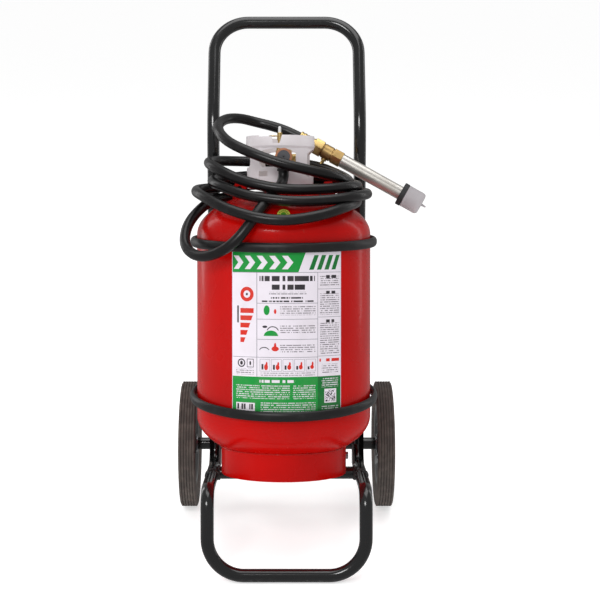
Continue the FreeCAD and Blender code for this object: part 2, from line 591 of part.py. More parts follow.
def hose(nozzle_space):
    lead = [Vector(*point) for point in leadPoints]
    tail = [Vector(*point) for point in tailPoints]
    steps = (len(turns) - 1) * turnSteps
    coil = [coil_point(step / turnSteps) for step in range(steps + 1)]
    long = hose_tube("hose_lead", lead) + hose_tube("hose_tail", tail)
    coiled = sum((after - before).Length for before, after in zip(coil, coil[1:]))
    print(f"hose: {long + coiled:.0f} mm in all, {coiled:.0f} mm of it in the turns")
    sections = []
    for number in range(turnSteps):
        around = [coil_point(turn + number / turnSteps) for turn in range(len(turns) - 1)]
        reach = [math.hypot(point.x, point.y) for point in around]
        bearing = around[0].x + around[1].x, around[0].y + around[1].y
        outward = Vector(*bearing, 0).normalize()
        low = min(point.z for point in around) - value("hoseRadius")
        high = max(point.z for point in around) + value("hoseRadius")
        inner = max(min(reach) - value("hoseRadius"), value("guardRadius") + 3)
        outer = max(reach) + value("hoseRadius") - 1
        corners = [outward * radius + Vector(0, 0, height) for radius, height in
                   ((inner, low), (outer, low), (outer, high), (inner, high))]
        sections.append(Part.makePolygon(corners + corners[:1]))
    halves = [Part.makeLoft(sections[:7], True, True), Part.makeLoft(sections[6:] + sections[:1], True, True)]
    band = doc.addObject("Part::Feature", "Band")
    band.Shape = halves[0].fuse(halves[1])
    keep_out = fuse(
        vessel_form("vesselRadius + skinGap", "headDepth + skinGap"),
        solid("Cylinder", (0, 0, "headTop"), Radius="guardRadius + 2 * skinGap", Height="guardTop"),
        nozzle_space)
    node("hose_coil", cut(band, keep_out))


# ---- nozzle ----

def nozzle():
    dip = math.radians(value("nozzleDip"))
    swing = math.radians(value("nozzleTurn"))
    ahead = Vector(math.cos(dip) * math.cos(swing), -math.cos(dip) * math.sin(swing), -math.sin(dip))
    down = Vector(-math.sin(dip), 0, -math.cos(dip))
    down = (down - ahead * down.dot(ahead)).normalize()
    local = Placement(spot("nozzleX", "nozzleBack", "nozzleHeight"), Rotation(down, Vector(), ahead, "ZXY"))
    tapAt = "inletLong + tapLong / 2"
    barrelAt = "inletLong + tapLong + outletLong"
    capAt = f"{barrelAt} + barrelLong"
    node("nozzle_crimp", turned([("hoseRadius", "-crimpLong"), ("crimpRadius", "-crimpLong + 1"),
                                 ("crimpRadius", "-8"), ("crimpRadius - 1.5", "-6"), ("crimpRadius - 1.5", 0),
                                 ("hoseRadius - 3", 0), ("hoseRadius - 3", "-crimpLong + 18"),
                                 ("hoseRadius", "-crimpLong + 18")]), local)
    inlet = common(hexagon("inletFlat", 0, "inletLong"),
                   solid("Cylinder", (0, 0, 0), Radius="inletFlat * 1.12", Height="inletLong"))
    passage = solid("Cylinder", (0, 0, -5), Radius="hoseRadius - 3", Height="inletLong + 10")
    node("nozzle_inlet_nut", cut(inlet, passage), local)
    tap = turned([("hoseRadius - 3", "inletLong"), ("tapRadius - 1.4", "inletLong"),
                  ("tapRadius - 1.4", "inletLong + 2"), ("tapRadius", "inletLong + 3"),
                  ("tapRadius", "inletLong + tapLong - 3"), ("tapRadius - 1.4", "inletLong + tapLong - 2"),
                  ("tapRadius - 1.4", "inletLong + tapLong"), ("hoseRadius - 3", "inletLong + tapLong")])
    room = solid("Sphere", (0, 0, tapAt), Radius="tapBore + 0.1")
    hole = solid("Cylinder", (0, 0, tapAt), alongX, Radius="tapStem + 0.06", Height=40)
    boss = solid("Cylinder", ("tapRadius - 3", 0, tapAt), alongX, Radius="tapStem + 2.4", Height=6)
    node("nozzle_tap_body", cut(fuse(tap, boss), fuse(room, hole)), local)
    ball = cut(solid("Sphere", (0, 0, tapAt), Radius="tapBore"),
               solid("Cylinder", (0, 0, "inletLong"), Radius="hoseRadius - 4", Height="tapLong"))
    node("tap_ball", ball, local)
    node("tap_stem", solid("Cylinder", ("tapBore - 0.5", 0, tapAt), alongX, Radius="tapStem",
                           Height="tapRadius + 6.5 - tapBore"), local)
    lever = plate("XY_Plane", [("tapRadius + 6", -3), ("tapRadius + 10", "-leverHalf"),
                               ("tapRadius + leverReach", "-leverHalf"),
                               ("tapRadius + leverReach", "leverHalf"), ("tapRadius + 10", "leverHalf"),
                               ("tapRadius + 6", 3)], "leverThick")
    node("tap_lever", lever, local.multiply(Placement(spot(0, 0, tapAt), upright)))
    outlet = common(hexagon("outletFlat", "inletLong + tapLong", barrelAt),
                    solid("Cylinder", (0, 0, 0), Radius="outletFlat * 1.12", Height=barrelAt))
    passage = solid("Cylinder", (0, 0, 0), Radius="barrelBore", Height="2 * barrelLong")
    node("nozzle_outlet_nut", cut(outlet, passage), local)
    node("nozzle_barrel", ring("barrelRadius", "barrelBore", f"{barrelAt}", f"{capAt} + 22"), local)
    node("nozzle_collar", turned([("barrelRadius", capAt), ("collarRadius - 1", capAt),
                                  ("collarRadius", f"{capAt} + 1"),
                                  ("collarRadius", f"{capAt} + collarLong - 1"),
                                  ("collarRadius - 1", f"{capAt} + collarLong"),
                                  ("barrelRadius", f"{capAt} + collarLong")]), local)
    start = f"{capAt} + collarLong + capGap"
    end = f"{start} + nozzleCapLong"
    node("nozzle_cap", turned([("barrelRadius + capGap", start), ("nozzleCapRadius", start),
                               ("nozzleCapRadius - 0.4", f"{end} - 8"),
                               ("nozzleCapRadius - 1.8", f"{end} - 3"),
                               ("nozzleCapRadius - 4.8", f"{end}"), (0, end), (0, f"{end} - capWall"),
                               ("barrelRadius + capGap", f"{end} - capWall - 3")]), local)
    node("cap_pin", turned([(0, end), (2.6, end), (2, f"{end} + 3"), (1.6, f"{end} + 8"), (0, f"{end} + 9")]),
         local)
    space = fuse(*[solid("Cylinder", (0, 0, low), Radius=f"{radius}", Height=f"{high} - ({low})")
                   for radius, low, high in (("inletFlat + 15", "-crimpLong - 4", barrelAt),
                                             ("barrelRadius + 1.5", barrelAt, f"{capAt} + 80"),
                                             ("collarRadius + 4", f"{capAt} - 4", f"{capAt} + 120"))])
    space.Placement = local
    return space


def save():
    doc.recompute()
    faults = [thing.Name for thing in doc.Objects if "Invalid" in thing.State or "Error" in thing.State]
    faults += [label for label, thing in nodes.items() if thing.Shape.isNull() or not thing.Shape.isValid()]
    if faults:
        raise RuntimeError(f"not built: {faults}")
    os.makedirs("parts", exist_ok=True)
    for label, thing in nodes.items():
        thing.Shape.exportStep(f"parts/{label}.step")
    print(len(nodes), "sub-parts")


vessel()
markings()
hoops(frame())
for side, hand in (("left", -1), ("right", 1)):
    wheel(side, hand)
axle()
valve()
plunger()
guard()
hose(nozzle())
save()
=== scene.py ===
# A wheeled fire extinguisher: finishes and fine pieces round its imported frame. Metres, +Z up.
import math

import bmesh
import bpy
from mathutils import Matrix, Vector, noise


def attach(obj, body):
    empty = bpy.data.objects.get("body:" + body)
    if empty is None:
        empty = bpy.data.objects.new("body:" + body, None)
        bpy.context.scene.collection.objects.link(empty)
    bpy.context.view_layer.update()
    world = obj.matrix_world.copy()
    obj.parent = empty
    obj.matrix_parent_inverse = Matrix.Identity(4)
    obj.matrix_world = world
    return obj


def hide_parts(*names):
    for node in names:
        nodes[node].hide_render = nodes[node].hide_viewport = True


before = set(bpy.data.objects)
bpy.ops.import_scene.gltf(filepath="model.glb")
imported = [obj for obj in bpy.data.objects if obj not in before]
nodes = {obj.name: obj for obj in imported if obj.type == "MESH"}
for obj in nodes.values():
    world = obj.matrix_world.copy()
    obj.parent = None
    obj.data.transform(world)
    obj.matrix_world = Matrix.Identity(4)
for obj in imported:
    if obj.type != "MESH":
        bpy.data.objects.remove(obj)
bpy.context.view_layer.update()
print("frame loaded,", len(nodes), "nodes")

# the parked stance: the trolley leans back and the vessel sits a little to its left
parked = {"lean": 12, "back": -0.0753, "lift": 0.13018, "vesselLeft": -0.005}
trolley = (Matrix.Translation((0, parked["back"], parked["lift"]))
           @ Matrix.Rotation(math.radians(-parked["lean"]), 4, "X"))
vessel = trolley @ Matrix.Translation((parked["vesselLeft"], 0, 0))
millimetres = Matrix.Scale(0.001, 4)
fullTurn = 2 * math.pi


def paint(red, green, blue):  # a screen colour, 0 to 255, as the linear one that shaders take
    return tuple(((part / 255 + 0.055) / 1.055) ** 2.4 if part > 10 else part / 3295
                 for part in (red, green, blue)) + (1,)


# ---- camera ----
camera = {"spot": (0, -2.4123, 1.0635), "lens": 85.8, "dip": 12.85, "shift": (0.0223, -0.0885)}
lens = bpy.data.cameras.new("camera")
lens.lens = camera["lens"]
lens.shift_x, lens.shift_y = camera["shift"]
viewer = bpy.data.objects.new("camera", lens)
viewer.location = camera["spot"]
viewer.rotation_euler = (math.radians(90 - camera["dip"]), 0, 0)
bpy.context.scene.collection.objects.link(viewer)
bpy.context.scene.camera = viewer


# ---- shader writing ----
class Wire:  # a shader socket that can be used in sums
    def __init__(self, finish, socket):
        self.finish = finish
        self.socket = socket

    def sum(self, operation, *others):
        return self.finish.node("ShaderNodeMath", {"operation": operation}, (self, *others))

    def __add__(self, other):
        return self.sum("ADD", other)

    def __sub__(self, other):
        return self.sum("SUBTRACT", other)

    def __rsub__(self, other):
        return self.finish.node("ShaderNodeMath", {"operation": "SUBTRACT"}, (other, self))

    def __mul__(self, other):
        return self.sum("MULTIPLY", other)

    def __truediv__(self, other):
        return self.sum("DIVIDE", other)

    def __gt__(self, other):
        return self.sum("GREATER_THAN", other)

    def __lt__(self, other):
        return self.sum("LESS_THAN", other)

    def __or__(self, other):  # either of two masks
        return self.sum("MAXIMUM", other)

    __radd__ = __add__
    __rmul__ = __mul__

    def near(self, middle, reach):
        return self.sum("COMPARE", middle, reach)

    def fraction(self):
        return self.sum("FRACT")

    def floor(self):
        return self.sum("FLOOR")

    def sine(self):
        return self.sum("SINE")

    def bearing(self, ahead):  # the angle of the point (ahead, self)
        return self.sum("ARCTAN2", ahead)

    def between(self, low, high, first=0, last=1):
        return self.finish.node("ShaderNodeMapRange", {"clamp": True}, (self, low, high, first, last))


class Finish:  # a material and its nodes
    def __init__(self, name):
        self.material = bpy.data.materials.new(name)
        self.material.use_nodes = True
        self.tree = self.material.node_tree
        self.shader = self.tree.nodes["Principled BSDF"]

    def node(self, kind, settings, values=(), output=0):
        made = self.tree.nodes.new(kind)
        for name, setting in settings.items():
            setattr(made, name, setting)
        pairs = values.items() if isinstance(values, dict) else enumerate(values)
        for key, given in pairs:
            self.join(made.inputs[key], given)
        return Wire(self, made.outputs[output])

    def join(self, socket, given):
        if isinstance(given, Wire):
            self.tree.links.new(given.socket, socket)
        else:
            socket.default_value = given

    def spot(self):
        return self.node("ShaderNodeTexCoord", {}, output="Object")

    def within(self, place):  # the spot in a piece's own millimetres
        back = (place @ millimetres).inverted()
        return self.node("ShaderNodeMapping", {}, {"Vector": self.spot(), "Location": back.to_translation(),
                                                   "Rotation": back.to_euler(), "Scale": back.to_scale()})

    def axes(self, vector):
        parts = self.tree.nodes.new("ShaderNodeSeparateXYZ")
        self.join(parts.inputs[0], vector)
        return [Wire(self, part) for part in parts.outputs]

    def together(self, x, y, z=0):
        return self.node("ShaderNodeCombineXYZ", {}, (x, y, z))

    def stretched(self, vector, scale):
        return self.node("ShaderNodeVectorMath", {"operation": "MULTIPLY"}, (vector, scale))

    def noise(self, scale, vector=None, detail=3, roughness=0.55):
        return self.node("ShaderNodeTexNoise", {}, {"Vector": vector or self.spot(), "Scale": scale,
                                                    "Detail": detail, "Roughness": roughness})

    def chance(self, vector):
        return self.node("ShaderNodeTexWhiteNoise", {"noise_dimensions": "3D"}, (vector,))

    def mix(self, share, first, second):
        return self.node("ShaderNodeMix", {"data_type": "RGBA"}, {0: share, 6: first, 7: second}, 2)

    def bump(self, height, distance, strength=1.0):
        return self.node("ShaderNodeBump", {}, {"Height": height, "Distance": distance, "Strength": strength})

    def surface(self, **values):
        for name, given in values.items():
            self.join(self.shader.inputs[name.replace("_", " ")], given)
        return self.material


# ---- finishes ----
def enamel(name, colour, deep, rough, scuff, shine, peel=0.00003, wornBelow=None):
    paintwork = Finish(name)
    cloud = paintwork.noise(6, detail=4)
    shade = paintwork.mix(cloud.between(0.35, 0.7), colour, deep)
    scratch = paintwork.noise(140, paintwork.stretched(paintwork.spot(), (1, 1, 0.12)), detail=6)
    marks = scratch.between(0.66, 0.72) * paintwork.noise(9).between(0.5, 0.62)
    if wornBelow is not None:
        height = paintwork.axes(paintwork.spot())[2]
        patches = paintwork.noise(120, detail=6).between(0.54, 0.62)
        marks = marks | (height.between(wornBelow, 0, 0, 1) * patches)
    shade = paintwork.mix(marks * 0.6, shade, scuff)
    skin = paintwork.noise(420, detail=1).between(0.3, 0.7)
    gloss = cloud.between(0.3, 0.75, rough, rough + 0.1) + marks * 0.3
    return paintwork.surface(Base_Color=shade, Roughness=gloss, Specular_IOR_Level=shine, Coat_Weight=shine,
                             Coat_Roughness=0.04, Normal=paintwork.bump(skin, peel))


def rubber(name, colour, worn, rough, grain=900, depth=0.00006):
    skin = Finish(name)
    cloud = skin.noise(11, detail=5)
    dust = skin.noise(60, detail=6).between(0.5, 0.75) * cloud.between(0.4, 0.65)
    pits = skin.noise(grain, detail=2)
    return skin.surface(Base_Color=skin.mix(dust, colour, worn), Specular_IOR_Level=0.45,
                        Roughness=cloud.between(0.3, 0.7, rough - 0.06, rough + 0.08),
                        Normal=skin.bump(pits, depth))


def metal(name, colour, dull, rough, grain=(1, 1, 1), scale=300, depth=0.00003, blotch=18):
    plated = Finish(name)
    tarnish = plated.noise(blotch, detail=6).between(0.42, 0.68)
    speck = plated.noise(blotch * 14, detail=4).between(0.6, 0.72)
    lay = plated.noise(scale, plated.stretched(plated.spot(), grain), detail=3)
    return plated.surface(Base_Color=plated.mix(tarnish * 0.7 | speck * 0.8, colour, dull), Metallic=1.0,
                          Roughness=lay.between(0.3, 0.7, rough - 0.05, rough + 0.07) + tarnish * 0.1,
                          Normal=plated.bump(lay, depth))


def plastic(name, colour, aged, rough, depth=0.00004):
    moulded = Finish(name)
    cloud = moulded.noise(14, detail=4).between(0.4, 0.7)
    grime = moulded.noise(90, detail=6).between(0.6, 0.75)
    skin = moulded.noise(1100, detail=2)
    return moulded.surface(Base_Color=moulded.mix(cloud * 0.7 | grime * 0.5, colour, aged),
                           Roughness=cloud.between(0, 1, rough - 0.04, rough + 0.08),
                           Normal=moulded.bump(skin, depth))


def brushedBarrel():
    steel = Finish("brushed stainless")
    x, y, z = steel.axes(steel.within(nozzlePlace))
    along = steel.noise(1, steel.together(x * 1.6, y * 1.6, z * 0.02), detail=4)
    mesh = (z * 1.9).sine() * (y.bearing(x) * 46).sine()
    smudge = steel.noise(30, detail=5).between(0.45, 0.65)
    return steel.surface(Base_Color=steel.mix(smudge * 0.5, paint(226, 222, 216), paint(186, 180, 170)),
                         Metallic=0.8, Roughness=along.between(0.3, 0.7, 0.26, 0.4) + smudge * 0.08,
                         Normal=steel.bump(along + mesh * 0.25, 0.00005))


def treadRubber():
    tyre = Finish("tyre rubber")
    cloud = tyre.noise(16, detail=6)
    dust = tyre.noise(70, detail=7).between(0.45, 0.7)
    shade = tyre.mix(cloud.between(0.35, 0.7), paint(70, 64, 61), paint(84, 77, 73))
    shade = tyre.mix(dust * 0.45, shade, paint(112, 103, 95))
    pits = tyre.noise(1300, detail=3) + tyre.noise(240, detail=2) * 0.6
    return tyre.surface(Base_Color=shade, Roughness=cloud.between(0.3, 0.7, 0.72, 0.88),
                        Specular_IOR_Level=0.3, Normal=tyre.bump(pits, 0.00009))


# ---- label ----
label = {"radius": 150, "turn": 2.4, "paper": paint(224, 217, 226), "ink": paint(48, 44, 50),
         "green": paint(0, 142, 52), "darkGreen": paint(0, 110, 42), "red": paint(206, 34, 16),
         "line": paint(120, 120, 130), "lilac": paint(206, 198, 216)}


def printedLabel():
    sheet = Finish("printed label")
    x, y, z = sheet.axes(sheet.within(vessel))
    across = (x.bearing(0 - y) - math.radians(label["turn"])) * label["radius"]

    def block(left, right, low, high):  # millimetres round the vessel and up it
        return (across.near((left + right) / 2, (right - left) / 2)
                * z.near((low + high) / 2, (high - low) / 2))

    def dot(middle, height, wide, tall):
        reach = ((across - middle) / wide) * ((across - middle) / wide)
        return (reach + ((z - height) / tall) * ((z - height) / tall)) < 1

    def either(masks):
        whole = masks[0]
        for mask in masks[1:]:
            whole = whole | mask
        return whole

    def dashes(pitch, letter, gap):  # rows of broken bars in place of words
        row = (z / pitch).floor()
        cell = (across / letter).floor()
        word = sheet.noise(1, sheet.together(across / (letter * 3.2), row * 7.31), detail=1) < gap
        stroke = sheet.chance(sheet.together(cell, row, 3)) > 0.16
        inRow = (z / pitch).fraction() < 0.46
        return word * stroke * inRow

    fine = dashes(3.5, 0.9, 0.6)
    bold = dashes(5.6, 1.5, 0.63)
    title = sheet.chance(sheet.together((across / 1.7).floor(), 4, 1)) < 0.8
    title = title * (sheet.noise(1, sheet.together(across / 9, 2.5), detail=1) < 0.6)

    colour = label["paper"]
    slant = (z - 351) * 0.38 + 18
    header = block(-95, 95, 351, 384)
    tip = across + (z - 367).sum("ABSOLUTE") * 0.8
    arrows = ((tip / 21).fraction() < 0.46) * tip.near(-32.2, 52) * block(-94, 18, 356, 378)
    colour = sheet.mix(header * (across < slant), colour, label["green"])
    colour = sheet.mix(header * (across < slant) * arrows, colour, label["paper"])
    lean = across - (z - 367) * 0.38
    leaning = ((lean / 13.5).fraction() < 0.58) * lean.near(66, 25.6)
    colour = sheet.mix(block(30, 94, 355, 379) * leaning, colour, label["darkGreen"])

    ruled = [block(-51, -50, 180, 351), block(50.6, 51.4, 124, 351), block(-95, 95, 350.4, 351.2)]
    ruled += [block(-50, 51, height, height + 0.8) for height in (300, 274, 241)]
    ruled += [block(-95, 51, 211.6, 212.4)]
    ruled += [block(51, 95, height, height + 0.7) for height in (323, 277, 213)]
    colour = sheet.mix(either(ruled), colour, label["line"])

    colour = sheet.mix(block(-46, 46, 336.5, 345) * title, colour, label["ink"])
    colour = sheet.mix(block(-28, 29, 322.5, 331) * title, colour, label["ink"])
    subtitle = block(-27, 28, 308, 312.6) | block(-42, 44, 302, 306)
    colour = sheet.mix(subtitle * bold, colour, label["ink"])
    words = [block(-30, 32, 314.5, 319), block(-12, 47, 281, 297), block(-12, 47, 252, 266),
             block(-12, 47, 220, 234), block(55, 92, 327, 345), block(55, 92, 281, 316),
             block(55, 92, 217, 268), block(58, 90, 184, 200), block(-88, -56, 183, 193)]
    colour = sheet.mix(either(words) * fine * 0.75, colour, label["ink"])
    heads = [block(60, 86, 341, 346), block(63, 84, 315, 320), block(64, 82, 268, 273)]
    colour = sheet.mix(either(heads) * title, colour, label["ink"])
    colour = sheet.mix(block(54, 92, 204, 209) * title, colour, label["red"])

    level = either([block(-80, -56, 236 + step * 12, 244 + step * 12) for step in range(5)])
    level = level * ((across + 80) < ((z - 226) * 0.36 + 3))
    gauge = dot(-68, 315, 12, 12) * (1 - dot(-68, 315, 6, 6))
    colour = sheet.mix(level | gauge, colour, label["red"])
    colour = sheet.mix(block(-86, -83, 268, 296) | dot(-68, 315, 2, 2), colour, label["ink"])

    stamp = dot(-78, 202, 7, 7) * (1 - dot(-78, 202, 5, 5)) | dot(-78, 202, 2.6, 3.4)
    stamp = stamp | (block(-68, -56, 195, 209) * (1 - block(-67, -57, 196, 208))) | dot(-62, 202, 1.6, 3.6)
    colour = sheet.mix(stamp, colour, label["ink"])

    greens = dot(-34, 289, 5, 8) | (dot(-27, 246, 12, 10) * (z > 247))
    colour = sheet.mix(greens, colour, label["green"])
    reds = dot(-20, 287, 2, 4) | dot(-20, 226, 6, 4) | dot(-20, 230, 2, 6)
    colour = sheet.mix(reds, colour, label["red"])
    hooks = dot(-37, 262, 4, 2) | (dot(-24, 254, 10, 9) * (1 - dot(-24, 253, 9, 8.4)) * (z > 256))
    hooks = hooks | (dot(-38, 222, 9, 7) * (1 - dot(-38, 221, 8.4, 6.4)) * (z > 224))
    colour = sheet.mix(hooks, colour, label["ink"])

    for number in range(5):
        middle = -37 + number * 19
        hollow = block(middle - 8, middle + 8, 189.5, 208.5)
        colour = sheet.mix(block(middle - 8.5, middle + 8.5, 189, 209) * (1 - hollow), colour, label["line"])
        colour = sheet.mix(block(middle - 5.6, middle - 2.4, 192, 201 - number), colour, label["ink"])
        flame = dot(middle + 2, 196, 3.2, 5 - number * 0.4) | dot(middle + 3, 201, 1.6, 3.6)
        colour = sheet.mix(flame, colour, label["red"])
    colour = sheet.mix(block(-44, 46, 182, 187) * fine * 0.6, colour, label["ink"])

    colour = sheet.mix(block(-95, 95, 120, 180), colour, label["green"])
    colour = sheet.mix(block(51, 95, 120, 180), colour, label["darkGreen"])
    pale = [block(-88, 4, 144, 168), block(9, 47, 144, 168), block(-44, 47, 123, 138),
            block(58, 90, 162, 177), block(58, 90, 124, 131)]
    colour = sheet.mix(either(pale) * fine * 0.8, colour, label["paper"])
    colour = sheet.mix(block(-46, 12, 170.5, 175) * title, colour, label["paper"])

    bars = sheet.chance(sheet.together((across / 1.1).floor(), 2, 5)) > 0.45
    barBox = block(-88, -54, 122, 137)
    colour = sheet.mix(barBox, colour, label["paper"])
    colour = sheet.mix(block(-86, -56, 126, 135) * bars, colour, label["ink"])
    cells = sheet.chance(sheet.together((across / 1.5).floor(), (z / 1.5).floor(), 9)) > 0.5
    colour = sheet.mix(block(63, 86, 136, 159), colour, label["paper"])
    colour = sheet.mix(block(65, 84, 138, 157) * cells, colour, label["ink"])

    inner = block(-95, 95, 122, 384)
    colour = sheet.mix(inner, label["lilac"], colour)
    ageing = sheet.noise(30, detail=5).between(0.45, 0.75)
    colour = sheet.mix(ageing * 0.12, colour, paint(150, 140, 130))
    film = sheet.noise(90, detail=3)
    return sheet.surface(Base_Color=colour, Roughness=film.between(0.3, 0.7, 0.28, 0.4),
                         Normal=sheet.bump(film, 0.00008))


def printedSticker():
    sticker = Finish("inspection sticker")
    x, y, z = sticker.axes(sticker.within(vessel))
    reach = (x * x + (y + 136) * (y + 136)).sum("SQRT")
    rim = reach.near(9.6, 0.8) | reach.near(5.4, 0.5)
    tick = reach.near(7.4, 1.1) * ((y + 136).bearing(x) * 14).sine().between(-0.2, 0.2)
    shade = sticker.mix(rim | tick, paint(70, 130, 30), paint(222, 214, 90))
    wear = sticker.noise(120, detail=5)
    return sticker.surface(Base_Color=sticker.mix(wear.between(0.55, 0.75) * 0.4, shade, paint(90, 90, 60)),
                           Roughness=wear.between(0.3, 0.7, 0.35, 0.5), Normal=sticker.bump(wear, 0.00005))


# ---- making pieces ----
def aimed(place, spot, along, across=(0, 0, 1)):  # a place whose Z runs along a direction
    ahead = Vector(along).normalized()
    side = (Vector(across) - ahead * ahead.dot(Vector(across))).normalized()
    turn = Matrix((side, ahead.cross(side), ahead)).transposed().to_4x4()
    return place @ Matrix.Translation(Vector(spot) * 0.001) @ turn


def lathe(profile, steps=64):  # radius and height pairs, spun about Z
    form = bmesh.new()
    rim = [form.verts.new((radius, 0, height)) for radius, height in profile]
    edges = [form.edges.new(pair) for pair in zip(rim, rim[1:])]
    bmesh.ops.spin(form, geom=rim + edges, cent=(0, 0, 0), axis=(0, 0, 1), angle=fullTurn, steps=steps,
                   use_merge=True)
    return form


def piece(name, form, material, place, body="trolley", stands=(), smooth=35):
    bmesh.ops.remove_doubles(form, verts=form.verts, dist=0.001)
    bmesh.ops.recalc_face_normals(form, faces=form.faces)
    mesh = bpy.data.meshes.new(name)
    form.to_mesh(mesh)
    form.free()
    mesh.transform(place @ millimetres)
    mesh.materials.append(material)
    mesh.shade_smooth()
    mesh.set_sharp_from_angle(angle=math.radians(smooth))
    made = bpy.data.objects.new(name, mesh)
    bpy.context.scene.collection.objects.link(made)
    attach(made, body)
    if stands:
        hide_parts(*stands)
    return made


def hexNut(flat, low, high, bore, chamfer=1.2):  # a six-sided nut with turned corners
    form = bmesh.new()
    for side in (1, -1):
        disc = bmesh.ops.create_circle(form, cap_ends=False, segments=6, radius=flat / math.cos(math.pi / 6))
        bmesh.ops.translate(form, verts=disc["verts"], vec=(0, 0, high if side > 0 else low))
    rims = form.edges[:]
    bmesh.ops.bridge_loops(form, edges=rims)
    uprights = [edge for edge in form.edges if abs(edge.verts[0].co.z - edge.verts[1].co.z) > 0.01]
    bmesh.ops.bevel(form, geom=uprights, offset=chamfer, affect="EDGES", segments=3, profile=0.5, material=-1)
    ends = [edge for edge in form.edges if edge.is_boundary]
    inner = bmesh.ops.extrude_edge_only(form, edges=ends)
    verts = [item for item in inner["geom"] if isinstance(item, bmesh.types.BMVert)]
    for vert in verts:
        vert.co.z += 0.5 if vert.co.z > (low + high) / 2 else -0.5
    bmesh.ops.scale(form, verts=verts, vec=(0.9, 0.9, 1))
    rims = [edge for edge in form.edges if edge.is_boundary]
    inner = bmesh.ops.extrude_edge_only(form, edges=rims)
    for vert in (item for item in inner["geom"] if isinstance(item, bmesh.types.BMVert)):
        flatways = Vector((vert.co.x, vert.co.y, 0)).normalized() * bore
        vert.co = Vector((flatways.x, flatways.y, vert.co.z))
    bmesh.ops.bridge_loops(form, edges=[edge for edge in form.edges if edge.is_boundary])
    return form


def weldRing(radius, bead, ripples, steps=96, part=fullTurn):  # a wavy bead laid round Z
    form = bmesh.new()
    bmesh.ops.create_circle(form, segments=10, radius=bead)
    bmesh.ops.rotate(form, verts=form.verts, cent=(0, 0, 0), matrix=Matrix.Rotation(math.pi / 2, 3, "X"))
    bmesh.ops.translate(form, verts=form.verts, vec=(radius, 0, 0))
    bmesh.ops.spin(form, geom=form.verts[:] + form.edges[:], cent=(0, 0, 0), axis=(0, 0, 1), angle=part,
                   steps=steps, use_merge=part == fullTurn)
    for vert in form.verts:
        turn = math.atan2(vert.co.y, vert.co.x)
        middle = Vector((math.cos(turn), math.sin(turn), 0)) * radius
        swell = 1 + 0.16 * math.sin(turn * ripples) + 0.5 * noise.noise(vert.co * 0.22)
        vert.co = middle + (vert.co - middle) * swell
    return form


# ---- hose ----
hose = {"exit": (0, -0.0706, 0.519), "length": 3.7, "diameter": 0.018, "turnSteps": 12}
leadPoints = [
    (0, -0.0706, 0.519), (0, -0.0706, 0.506), (-0.007, -0.085, 0.491), (-0.018, -0.108, 0.480),
    (-0.037, -0.137, 0.457), (-0.057, -0.153, 0.427), (-0.081, -0.157, 0.398), (-0.112, -0.145, 0.379),
    (-0.145, -0.113, 0.375), (-0.168, -0.077, 0.393), (-0.165, -0.046, 0.429), (-0.141, -0.012, 0.460),
    (-0.118, 0.032, 0.475), (-0.084, 0.078, 0.480), (-0.032, 0.109, 0.480), (0.032, 0.109, 0.478),
    (0.084, 0.080, 0.475), (0.117, 0.036, 0.471),
]
tailPoints = [
    (0.112, 0.014, 0.507), (0.112, -0.030, 0.502), (0.082, -0.078, 0.511), (0.036, -0.099, 0.521),
    (-0.014, -0.099, 0.533), (-0.060, -0.087, 0.551), (-0.099, -0.053, 0.571), (-0.117, -0.003, 0.597),
    (-0.106, 0.042, 0.615), (-0.079, 0.070, 0.619), (-0.048, 0.086, 0.612), (-0.017, 0.078, 0.604),
    (0.014, 0.0669, 0.5924), (0.0436, 0.064, 0.5759),
]
turns = [  # where each turn crosses the right, front, left and back
    {"right": (0.128, -0.035, 0.469), "front": (0, -0.172, 0.433), "left": (-0.154, -0.012, 0.488),
     "back": (0, 0.095, 0.502)},
    {"right": (0.148, -0.032, 0.482), "front": (0, -0.140, 0.466), "left": (-0.126, -0.012, 0.505),
     "back": (0, 0.088, 0.520)},
    {"right": (0.131, -0.030, 0.495), "front": (0, -0.121, 0.486), "left": (-0.133, -0.004, 0.537),
     "back": (0, 0.080, 0.541)},
    {"right": (0.118, -0.022, 0.503), "front": (0, -0.096, 0.528), "left": (-0.126, -0.002, 0.600),
     "back": (0, 0.080, 0.600)},
]


def coilPoint(travel):  # travel counts turns, from the right by way of the front
    spots = {}
    for order, side in enumerate(("right", "front", "left", "back")):
        last = travel - order / 4
        index = max(0, min(len(turns) - 2, math.floor(last)))
        share = max(0, min(1, last - index))
        spots[side] = Vector(turns[index][side]).lerp(Vector(turns[index + 1][side]), share)
    across = math.cos(fullTurn * travel)
    ahead = math.sin(fullTurn * travel)
    height = (max(0, across) ** 2 * spots["right"].z + max(0, -across) ** 2 * spots["left"].z
              + max(0, ahead) ** 2 * spots["front"].z + max(0, -ahead) ** 2 * spots["back"].z)
    wide = (spots["right"].x - spots["left"].x) / 2
    deep = (spots["back"].y - spots["front"].y) / 2
    return Vector((spots["right"].x - wide + wide * across, spots["back"].y - deep - deep * ahead, height))


def layHose(material):
    steps = (len(turns) - 1) * hose["turnSteps"]
    route = [Vector(point) for point in leadPoints]
    route += [coilPoint(step / hose["turnSteps"]) for step in range(steps)]
    route += [Vector(point) for point in tailPoints]
    line = bpy.data.curves.new("hose", "CURVE")
    line.dimensions = "3D"
    spline = line.splines.new("NURBS")
    spline.points.add(len(route) - 1)
    for point, spot in zip(spline.points, route):
        point.co = (*(vessel @ spot), 1)
    spline.order_u = 3
    spline.use_endpoint_u = True
    spline.resolution_u = 6
    line.bevel_depth = hose["diameter"] / 2
    line.bevel_resolution = 6
    line.use_fill_caps = True
    line.materials.append(material)
    tube = bpy.data.objects.new("hose", line)
    bpy.context.scene.collection.objects.link(tube)
    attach(tube, "trolley")
    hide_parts("hose_lead", "hose_coil", "hose_tail")
    return tube


